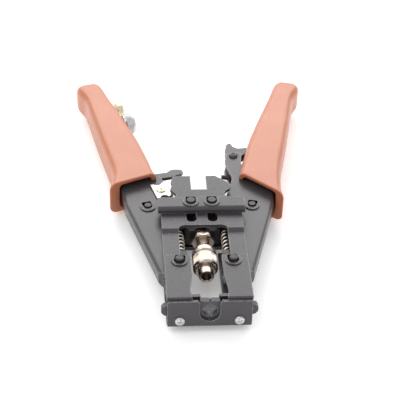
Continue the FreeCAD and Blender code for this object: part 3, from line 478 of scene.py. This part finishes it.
def thread(bm, place, radius, root, start, end, pitch, steps=36):
    """A single-start thread's surface as a continuous ridge, with capped ends."""
    turns = (end - start) / pitch
    rows = []
    ring_count = int(turns * 4)
    for i in range(ring_count + 1):
        along = start + (end - start) * i / ring_count
        ring = []
        for k in range(steps):
            angle = 2 * math.pi * k / steps
            phase = (along / pitch - k / steps) % 1.0
            ridge = 1 - abs(2 * phase - 1)
            r = root + (radius - root) * min(1.0, ridge * 1.4)
            ring.append(place @ Vector((r * math.cos(angle), r * math.sin(angle), along)))
        rows.append(ring)
    rows = skin(bm, rows)
    bm.faces.new(rows[0])
    bm.faces.new(rows[-1])


def plunger_rod():
    """Threaded rod through the lock nut and into the crosshead."""
    bm = bmesh.new()
    thread(bm, along_y(0, 0, AXIS_Z), radius=2.5, root=2.15, start=46.0, end=71.5, pitch=0.8)
    obj = finish_mesh("plunger_thread", bm, math.radians(60))
    return piece(obj, "crosshead", "nickel", nickel, "plunger_rod")


# ================================================================ springs
def return_springs():
    """Two coil springs between the frame's seats and the crosshead's shoulders."""
    front, rear, x = 45.0, 66.0, 13.0
    for side, tag in SIDES:
        bm = bmesh.new()
        wire_coil(bm, along_y(side * x, front, AXIS_Z), radius=2.4, wire=1.15, length=rear - front,
                  turns=7.2)
        obj = finish_mesh("return_coil_" + tag, bm, math.radians(60))
        piece(obj, "frame", "spring_steel", spring_steel, "return_spring_" + tag)
        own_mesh(obj)


def jaw_springs():
    """Small coils under the jaws' thumb ears."""
    x, y, low, high = 19.4, 3.2, 2.0, 4.9
    for side, tag in SIDES:
        bm = bmesh.new()
        wire_coil(bm, along_z(spot(side * x, y, low)), radius=1.02, wire=0.5, length=high - low,
                  turns=4.0, around=8, per_turn=20)
        obj = finish_mesh("jaw_coil_" + tag, bm, math.radians(60))
        piece(obj, "frame", "spring_steel", spring_steel, "jaw_spring_" + tag)
        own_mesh(obj)


# ================================================================ screws, pins and clips
def cross_cutter(place, width, slim, deep):
    """Cutter for a cross recess that tapers downwards; z = 0 in place is the head's face."""
    bm = bmesh.new()
    rows = []
    for z, w, t in ((0.6, width / 2, slim / 2), (-deep, width / 2 - deep * 0.55, slim * 0.3)):
        cross = [(w, -t), (w, t), (t, t), (t, w), (-t, w), (-t, t), (-w, t), (-w, -t), (-t, -t), (-t, -w),
                 (t, -w), (t, -t)]
        rows.append([place @ Vector((x, y, z)) for x, y in cross])
    rows = skin(bm, rows)
    bm.faces.new(rows[0])
    bm.faces.new(rows[1])
    return finish_mesh("cutter", bm)


def pan_screw(name, place, head_r, head_high, shank_r, length):
    """Domed cross-recess screw. In place, z = 0 is the head's seat and the shank goes down."""
    profile = [(-length, 0.0), (-length, shank_r - 0.25), (-length + 0.25, shank_r), (0.0, shank_r),
               (0.0, head_r - 0.08), (0.1, head_r)]
    steps = 7
    for i in range(1, steps + 1):
        angle = math.pi / 2 * i / steps
        radius = (head_r - 0.35) * (1 - (i / steps) ** 2.4) + 0.35 * math.cos(angle)
        profile.append((0.1 + (head_high - 0.1) * math.sin(angle) ** 0.9, max(radius, 0.0)))
    bm = bmesh.new()
    lathe(bm, profile, place, steps=48)
    obj = finish_mesh(name, bm)
    face = place @ Matrix.Translation((0, 0, head_high))
    carve(obj, cross_cutter(face, width=head_r * 1.45, slim=0.85, deep=0.8))
    return obj


def front_screws():
    """The two screws the jaws turn on."""
    x, z = 15.4, 3.9
    toward_front = Matrix.Rotation(math.pi / 2, 4, "X")
    for side, tag in SIDES:
        place = Matrix.Translation(spot(side * x, 0, z)) @ toward_front @ Matrix.Scale(MM, 4)
        place = place @ Matrix.Rotation(math.radians(18 * side), 4, "Z")
        obj = pan_screw("jaw_screw_" + tag, place, head_r=2.65, head_high=1.6, shank_r=1.45, length=6.6)
        piece(obj, "frame", "zinc", zinc)
    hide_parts("front_screws")


def clip_outline(inner, outer):
    """E-clip seen from above: an open ring with three teeth and two curled ends, opening to +Y."""
    band = (inner + outer) / 2
    curl = (outer - inner) * 0.32
    points = arc(0, 0, outer, 62, -242, 40)
    points += arc(-band * 0.62, band * 0.86, curl, 150, -60, 8)
    for start, end, tooth in ((128, 172, 184), (196, 236, 270), (304, 344, 356), (8, 52, None)):
        points += arc(0, 0, inner + 0.4, start, end, 6)
        if tooth is not None:
            points += arc(0, 0, inner + 0.06, tooth - 8, tooth + 8, 3)
    points += arc(band * 0.62, band * 0.86, curl, 240, 30, 8)
    return points


def e_clip(bm, place, inner):
    """Builds an E-clip as a chamfered plate, for a pin groove of radius inner."""
    outer, thick = 4.4, 0.8
    slab(bm, clip_outline(inner, outer), 0.0, thick, place, chamfer=0.12)


def clips():
    """Retaining clips on the fulcrum, crosshead and link pins, as the CAD places them."""
    bridge_gap, bridge_thick = 0.3, 3.7
    bridge_top = FRAME_TOP + bridge_gap + bridge_thick
    pin_x, pin_y = 5.85, 77.945
    link_pin_y, arm_top = 55.7, 13.8
    for side, tag in SIDES:
        bm = bmesh.new()
        place = along_z(spot(side * FULCRUM[0], FULCRUM[1], FRAME_TOP))
        e_clip(bm, place @ Matrix.Rotation(math.radians(10 * side), 4, "Z"), 2.5)
        obj = piece(finish_mesh("fulcrum_clip_" + tag, bm), "frame", "black_steel", frame_paint)
        if side < 0:
            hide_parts("pivot_clips")
        bm = bmesh.new()
        e_clip(bm, along_z(spot(side * pin_x, pin_y, bridge_top)), 2.4)
        obj = piece(finish_mesh("bridge_clip_" + tag, bm), "crosshead", "black_steel", frame_paint)
        if side < 0:
            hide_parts("crosshead_clips")
        bm = bmesh.new()
        place = along_z(on_handle(side, 0, link_pin_y, arm_top))
        e_clip(bm, place @ Matrix.Rotation(-side * OPEN_ANGLE, 4, "Z"), 2.0)
        piece(finish_mesh("arm_clip_" + tag, bm), "handle_" + tag, "black_steel", frame_paint,
              "link_clip_" + tag)


# ================================================================ grips
# Sections along the handle: place, inner side, outer side, and how far the section stands proud of
# the grip's height (negative where it is lower). The bell's sections are near each grip's mouth.
GRIP_BODY = [(95, -12.8, 10.4, -0.2), (115, -13.2, 9.2, -0.3), (138, -12.2, 7.8, -0.4),
             (156, -11.0, 6.4, -0.6), (173, -9.9, 5.3, -0.9), (184, -9.4, 7.2, -1.0),
             (188.5, -8.8, 6.8, -1.6), (191.4, -6.6, 4.2, -3.4)]
BELL = {"left": [(66, -14.0, 17.8, 0.3), (74, -13.2, 17.2, 0.2), (80, -12.6, 14.4, 0.0),
                 (86, -12.2, 12.0, 0.0)],
        "right": [(56, -14.0, 17.6, 0.3), (64, -13.3, 16.9, 0.2), (71, -12.7, 14.4, 0.0),
                  (80, -12.2, 12.5, 0.0)]}
CAVITY = [(56, -11.4, 13.3, -2.2), (80, -9.6, 9.9, -2.5), (95, -9.6, 7.3, -5.2), (112, -9.9, 6.2, -5.4),
          (135, -9.1, 4.7, -5.4), (155, -8.1, 3.2, -5.4), (173, -6.8, 2.1, -5.4), (183.2, -6.3, 2.1, -5.4)]
MOUTH_INNER = (-12.2, 79.0)
MOUTH_OUTER = {"left": (15.9, 75.0), "right": (15.9, 64.2)}
GRIP_LOW = -1.4
GRIP_TOP = 19.4


def smooth_rows(table, y):
    """The table's columns at y, on a monotone cubic through its rows."""
    y = min(max(y, table[0][0]), table[-1][0])
    k = 0
    while k < len(table) - 2 and y > table[k + 1][0]:
        k += 1
    low, high = table[k], table[k + 1]
    span = high[0] - low[0]
    t = (y - low[0]) / span
    out = []
    for column in range(1, 4):
        step = (high[column] - low[column]) / span
        before = table[k - 1] if k else low
        after = table[k + 2] if k + 2 < len(table) else high
        slope_low = (low[column] - before[column]) / (low[0] - before[0]) if k else step
        slope_high = ((after[column] - high[column]) / (after[0] - high[0])
                      if k + 2 < len(table) else step)
        m0 = 0.0 if slope_low * step <= 0 else 2 * slope_low * step / (slope_low + step)
        m1 = 0.0 if slope_high * step <= 0 else 2 * slope_high * step / (slope_high + step)
        h = (2 * t ** 3 - 3 * t ** 2 + 1, t ** 3 - 2 * t ** 2 + t, -2 * t ** 3 + 3 * t ** 2, t ** 3 - t ** 2)
        out.append(h[0] * low[column] + h[1] * span * m0 + h[2] * high[column] + h[3] * span * m1)
    return out


def mouth_at(x, tag):
    """How far along the handle the grip's slanted mouth lies at x."""
    (x0, y0), (x1, y1) = MOUTH_INNER, MOUTH_OUTER[tag]
    return y0 + (y1 - y0) * (x - x0) / (x1 - x0)


def rounded_point(turn, inner, outer, low, high, corner):
    """A point of a rounded rectangle; turn runs 0 to 1 round it, evenly along its length."""
    wide, tall = outer - inner, high - low
    r = min(corner, wide / 2 - 0.3, tall / 2 - 0.3)
    bend = math.pi * r / 2
    runs = [tall - 2 * r, bend, wide - 2 * r, bend] * 2
    length = turn % 1.0 * sum(runs)
    corners = [(outer - r, low + r), (outer - r, high - r), (inner + r, high - r), (inner + r, low + r)]
    for i in range(4):
        cx, cz = corners[(i + 1) % 4]
        angle0 = math.pi / 2 * i
        if length <= runs[2 * i]:
            back = runs[2 * i] - length
            return (cx + r * math.cos(angle0) + back * math.sin(angle0),
                    cz + r * math.sin(angle0) - back * math.cos(angle0))
        length -= runs[2 * i]
        if length <= bend:
            angle = angle0 + math.pi / 2 * length / bend
            return cx + r * math.cos(angle), cz + r * math.sin(angle)
        length -= bend
    return corners[0]


def grip_ring(tag, table, along, slant, corner, push=0.0, count=96):
    """One ring of the grip, at along on the handle's centre line and push outside the table's section.
    slant 1 follows the mouth's slope and 0 is square to the handle. A slanted point's section is the
    one at its own place along the handle, found by repeating."""
    ring = []
    for i in range(count):
        y = along
        for repeat in range(4 if slant else 1):
            inner, outer, proud = smooth_rows(table, y)
            x, z = rounded_point(i / count, inner - push, outer + push, GRIP_LOW - proud - push,
                                 GRIP_TOP + proud + push, corner)
            y = along + slant * (mouth_at(x, tag) - mouth_at(0.0, tag))
        ring.append((x, y, z))
    return ring


def skin_rings(tag, start):
    """Rings of the grip's outside, from the rolled lip to the flared end."""
    table = BELL[tag] + GRIP_BODY
    corner, lip, square_at, steps = 4.5, 1.6, 120.0, 21
    rings = []
    for push, forward in ((-1.1, 0.0), (-0.55, 0.0), (-0.18, 0.22), (0.0, 0.75), (0.0, lip)):
        rings.append(grip_ring(tag, table, start + forward, 1.0, corner, push))
    for i in range(1, steps + 1):
        t = i / steps
        along = start + lip + (square_at - start - lip) * t
        rings.append(grip_ring(tag, table, along, (1 - t) ** 1.5, corner))
    for along in (*range(123, 184, 3), 184.0, 185.5, 187.0, 188.3, 189.3, 190.1, 190.8, 191.4):
        rings.append(grip_ring(tag, table, along, 0.0, corner))
    return rings


def cavity_rings(tag, start):
    """Rings of the grip's hollow, from the lip inwards; its corners get tighter with depth."""
    corner, tightening, lip, square_at, steps = 2.6, 2.2, 1.2, 112.0, 14
    rings = []
    for push, forward in ((0.5, 0.05), (0.12, 0.4), (0.0, lip)):
        rings.append(grip_ring(tag, CAVITY, start + forward, 1.0, corner, push))
    for i in range(1, steps + 1):
        t = i / steps
        along = start + lip + (square_at - start - lip) * t
        rings.append(grip_ring(tag, CAVITY, along, (1 - t) ** 1.5, corner - tightening * t))
    for along in (120, 135, 150, 165, 175, 183.2):
        rings.append(grip_ring(tag, CAVITY, along, 0.0, 0.4))
    return rings


def close_tip(bm, side, row, tip):
    """Closes the flared end with smaller flat rings inside tip, whose vertices are row."""
    middle = [sum(p[k] for p in tip) / len(tip) for k in range(3)]
    for share in (0.55, 0.2):
        ring = []
        for x, y, z in tip:
            inward = (middle[0] + (x - middle[0]) * share, y, middle[2] + (z - middle[2]) * share)
            ring.append(bm.verts.new(on_handle(side, *inward)))
        for i in range(len(ring)):
            j = (i + 1) % len(ring)
            bm.faces.new((row[i], row[j], ring[j], ring[i]))
        row = ring
    bm.faces.new(row)


def slot_cutter(side):
    """Box that opens the grip's inner wall from its mouth to reach."""
    start = 66
    reach = 99.0 if side > 0 else 94.0
    corners = [(-30, start), (-4, start), (-4, reach), (-30, reach)]
    bm = bmesh.new()
    rows = skin(bm, [[on_handle(side, x, y, z) for x, y in corners] for z in (3.9, 14.1)])
    bm.faces.new(rows[0])
    bm.faces.new(rows[1])
    return finish_mesh("slot_cutter", bm)


def grip(side, tag):
    """Dipped PVC sleeve: bell mouth with a rolled lip, long soft-edged body and a flared end."""
    start = mouth_at(0.0, tag)
    outside = skin_rings(tag, start)
    chain = outside[::-1] + cavity_rings(tag, start)
    bm = bmesh.new()
    rows = skin(bm, [[on_handle(side, *p) for p in ring] for ring in chain])
    close_tip(bm, side, rows[0], outside[-1])
    bm.faces.new(rows[-1])
    obj = finish_mesh("grip_skin_" + tag, bm, math.radians(50))
    carve(obj, slot_cutter(side))
    return piece(obj, "handle_" + tag, "grip_pvc", grip_pvc, "grip_" + tag)


# ================================================================ spare adapters
def handle_axis(side, along):
    """Place whose Z axis points outwards across a handle, through a spare stud's axis."""
    origin = on_handle(side, 0, along, AXIS_Z)
    outward = (on_handle(side, 1, along, AXIS_Z) - origin).normalized()
    up = Vector((0, 0, 1))
    third = up.cross(outward)
    turn = Matrix((third, up, outward)).transposed().to_4x4()
    return Matrix.Translation(origin) @ turn @ Matrix.Scale(MM, 4)


def spare_adapters():
    """Two spare plunger tips, each with a ribbed rim, on the left handle's studs."""
    wide = [(-19.8, 2.9), (-19.8, 5.5), (-19.4, 6.1), (-18.5, 6.4), (-18.1, 6.7), (-17.8, 6.8), (-14.5, 6.8),
            (-14.2, 6.75), (-13.7, 6.2), (-12.9, 6.0), (-12.9, 2.1), (-15.2, 2.1), (-15.2, 2.9)]
    bm = bmesh.new()
    lathe(bm, wide, handle_axis(-1, 149), teeth=52, depth=0.28, toothed=(5, 6))
    piece(finish_mesh("spare_tip_wide", bm, math.radians(40)), "handle_left", "nickel", zinc,
          "spare_adapter_wide")
    slim = [(-17.8, 2.2), (-17.8, 3.5), (-17.2, 4.2), (-14.6, 4.2), (-14.3, 4.9), (-14.0, 5.2), (-13.7, 5.2),
            (-11.3, 5.2), (-11.0, 5.0), (-11.0, 2.1), (-14.4, 2.1), (-14.4, 2.2)]
    bm = bmesh.new()
    lathe(bm, slim, handle_axis(-1, 167), teeth=44, depth=0.2, toothed=(6, 7))
    piece(finish_mesh("spare_tip_slim", bm, math.radians(40)), "handle_left", "brass", brass,
          "spare_adapter_slim")


def latch_hardware():
    """Pan-head screw of the latch lever and the cutter blade's brass screw."""
    down = along_z(on_handle(1, -19.9, 101.8, 13.8)) @ Matrix.Rotation(math.radians(30), 4, "Z")
    obj = pan_screw("latch_pan_screw", down, head_r=2.65, head_high=1.7, shank_r=1.45, length=11.6)
    piece(obj, "handle_right", "black_steel", frame_paint, "latch_screw")
    down = along_z(on_handle(-1, -11.6, 67.6, 14.9)) @ Matrix.Rotation(math.radians(20), 4, "Z")
    obj = pan_screw("blade_pan_screw", down, head_r=2.65, head_high=0.85, shank_r=1.45, length=3.6)
    piece(obj, "handle_left", "brass", brass, "blade_screw")


knurled_sleeve()
adapter_core()
lock_nut()
plunger_rod()
return_springs()
jaw_springs()
front_screws()
clips()
for side, tag in SIDES:
    grip(side, tag)
spare_adapters()
latch_hardware()


# ================================================================ floor, light and camera
def floor():
    """Plain pale ground that the tool lies on. It also glows faintly: painted light that whitens the shadows
    on it.
    """
    bm = bmesh.new()
    half, level = 3.0, -0.0002
    corners = ((-half, -half), (half, -half), (half, half), (-half, half))
    bm.faces.new([bm.verts.new((x, y, level)) for x, y in corners])
    obj = finish_mesh("floor", bm)
    m = Nodes("floor_white")
    tint = m.spread(m.noise(3, 2.0), 0.0, 1.0)
    m.link(m.blend(tint, (0.93, 0.93, 0.93, 1), (0.95, 0.95, 0.95, 1)), m.shader.inputs["Base Color"])
    # Painted light: a faint white glow on the floor lifts its shadows and lights the tool from below.
    m.set(Roughness=0.9, Specular_IOR_Level=0.1, Emission_Strength=0.22)
    m.shader.inputs["Emission Color"].default_value = (1, 1, 1, 1)
    obj.data.materials.append(m.material)


def softbox(name, place, target, size, power):
    """A large soft rectangular light aimed at a point."""
    light = bpy.data.lights.new(name, "AREA")
    light.shape = "RECTANGLE"
    light.size, light.size_y = size
    light.energy = power
    obj = bpy.data.objects.new(name, light)
    obj.location = place
    obj.rotation_mode = "QUATERNION"
    obj.rotation_quaternion = (Vector(target) - Vector(place)).to_track_quat("-Z", "Y")
    bpy.context.scene.collection.objects.link(obj)


def world():
    """Even white surroundings."""
    scene = bpy.context.scene
    scene.world = bpy.data.worlds.new("studio")
    scene.world.use_nodes = True
    background = scene.world.node_tree.nodes["Background"]
    background.inputs["Color"].default_value = (1.0, 1.0, 1.0, 1.0)
    background.inputs["Strength"].default_value = 0.85
    scene.view_settings.view_transform = "Standard"


def camera():
    """The photograph's viewpoint: aim point, distance and angles, with a slight roll."""
    aim = Vector((0.84, -10.635, 13.0)) * MM
    distance = 677.23 * MM
    elevation, azimuth, roll = (math.radians(a) for a in (36.419, -4.654, 1.852))
    back = Vector((math.sin(azimuth) * math.cos(elevation), -math.cos(azimuth) * math.cos(elevation),
                   math.sin(elevation)))
    right = Vector((math.cos(azimuth), math.sin(azimuth), 0))
    up = back.cross(right)
    rolled_right = right * math.cos(roll) + up * math.sin(roll)
    rolled_up = up * math.cos(roll) - right * math.sin(roll)
    data = bpy.data.cameras.new("camera")
    data.sensor_width, data.lens = 36.0, 105.4476
    data.clip_start, data.clip_end = 0.01, 20.0
    obj = bpy.data.objects.new("camera", data)
    obj.rotation_mode = "QUATERNION"
    obj.rotation_quaternion = Matrix((rolled_right, rolled_up, back)).transposed().to_quaternion()
    obj.location = aim + back * distance
    bpy.context.scene.collection.objects.link(obj)
    bpy.context.scene.camera = obj


floor()
softbox("top_back", (0.05, 0.86, 0.64), (0, 0, 0), (1.5, 0.75), 10.5)
softbox("top_left", (-0.6, -0.2, 1.0), (0, 0, 0), (0.7, 0.7), 2.5)
world()
camera()
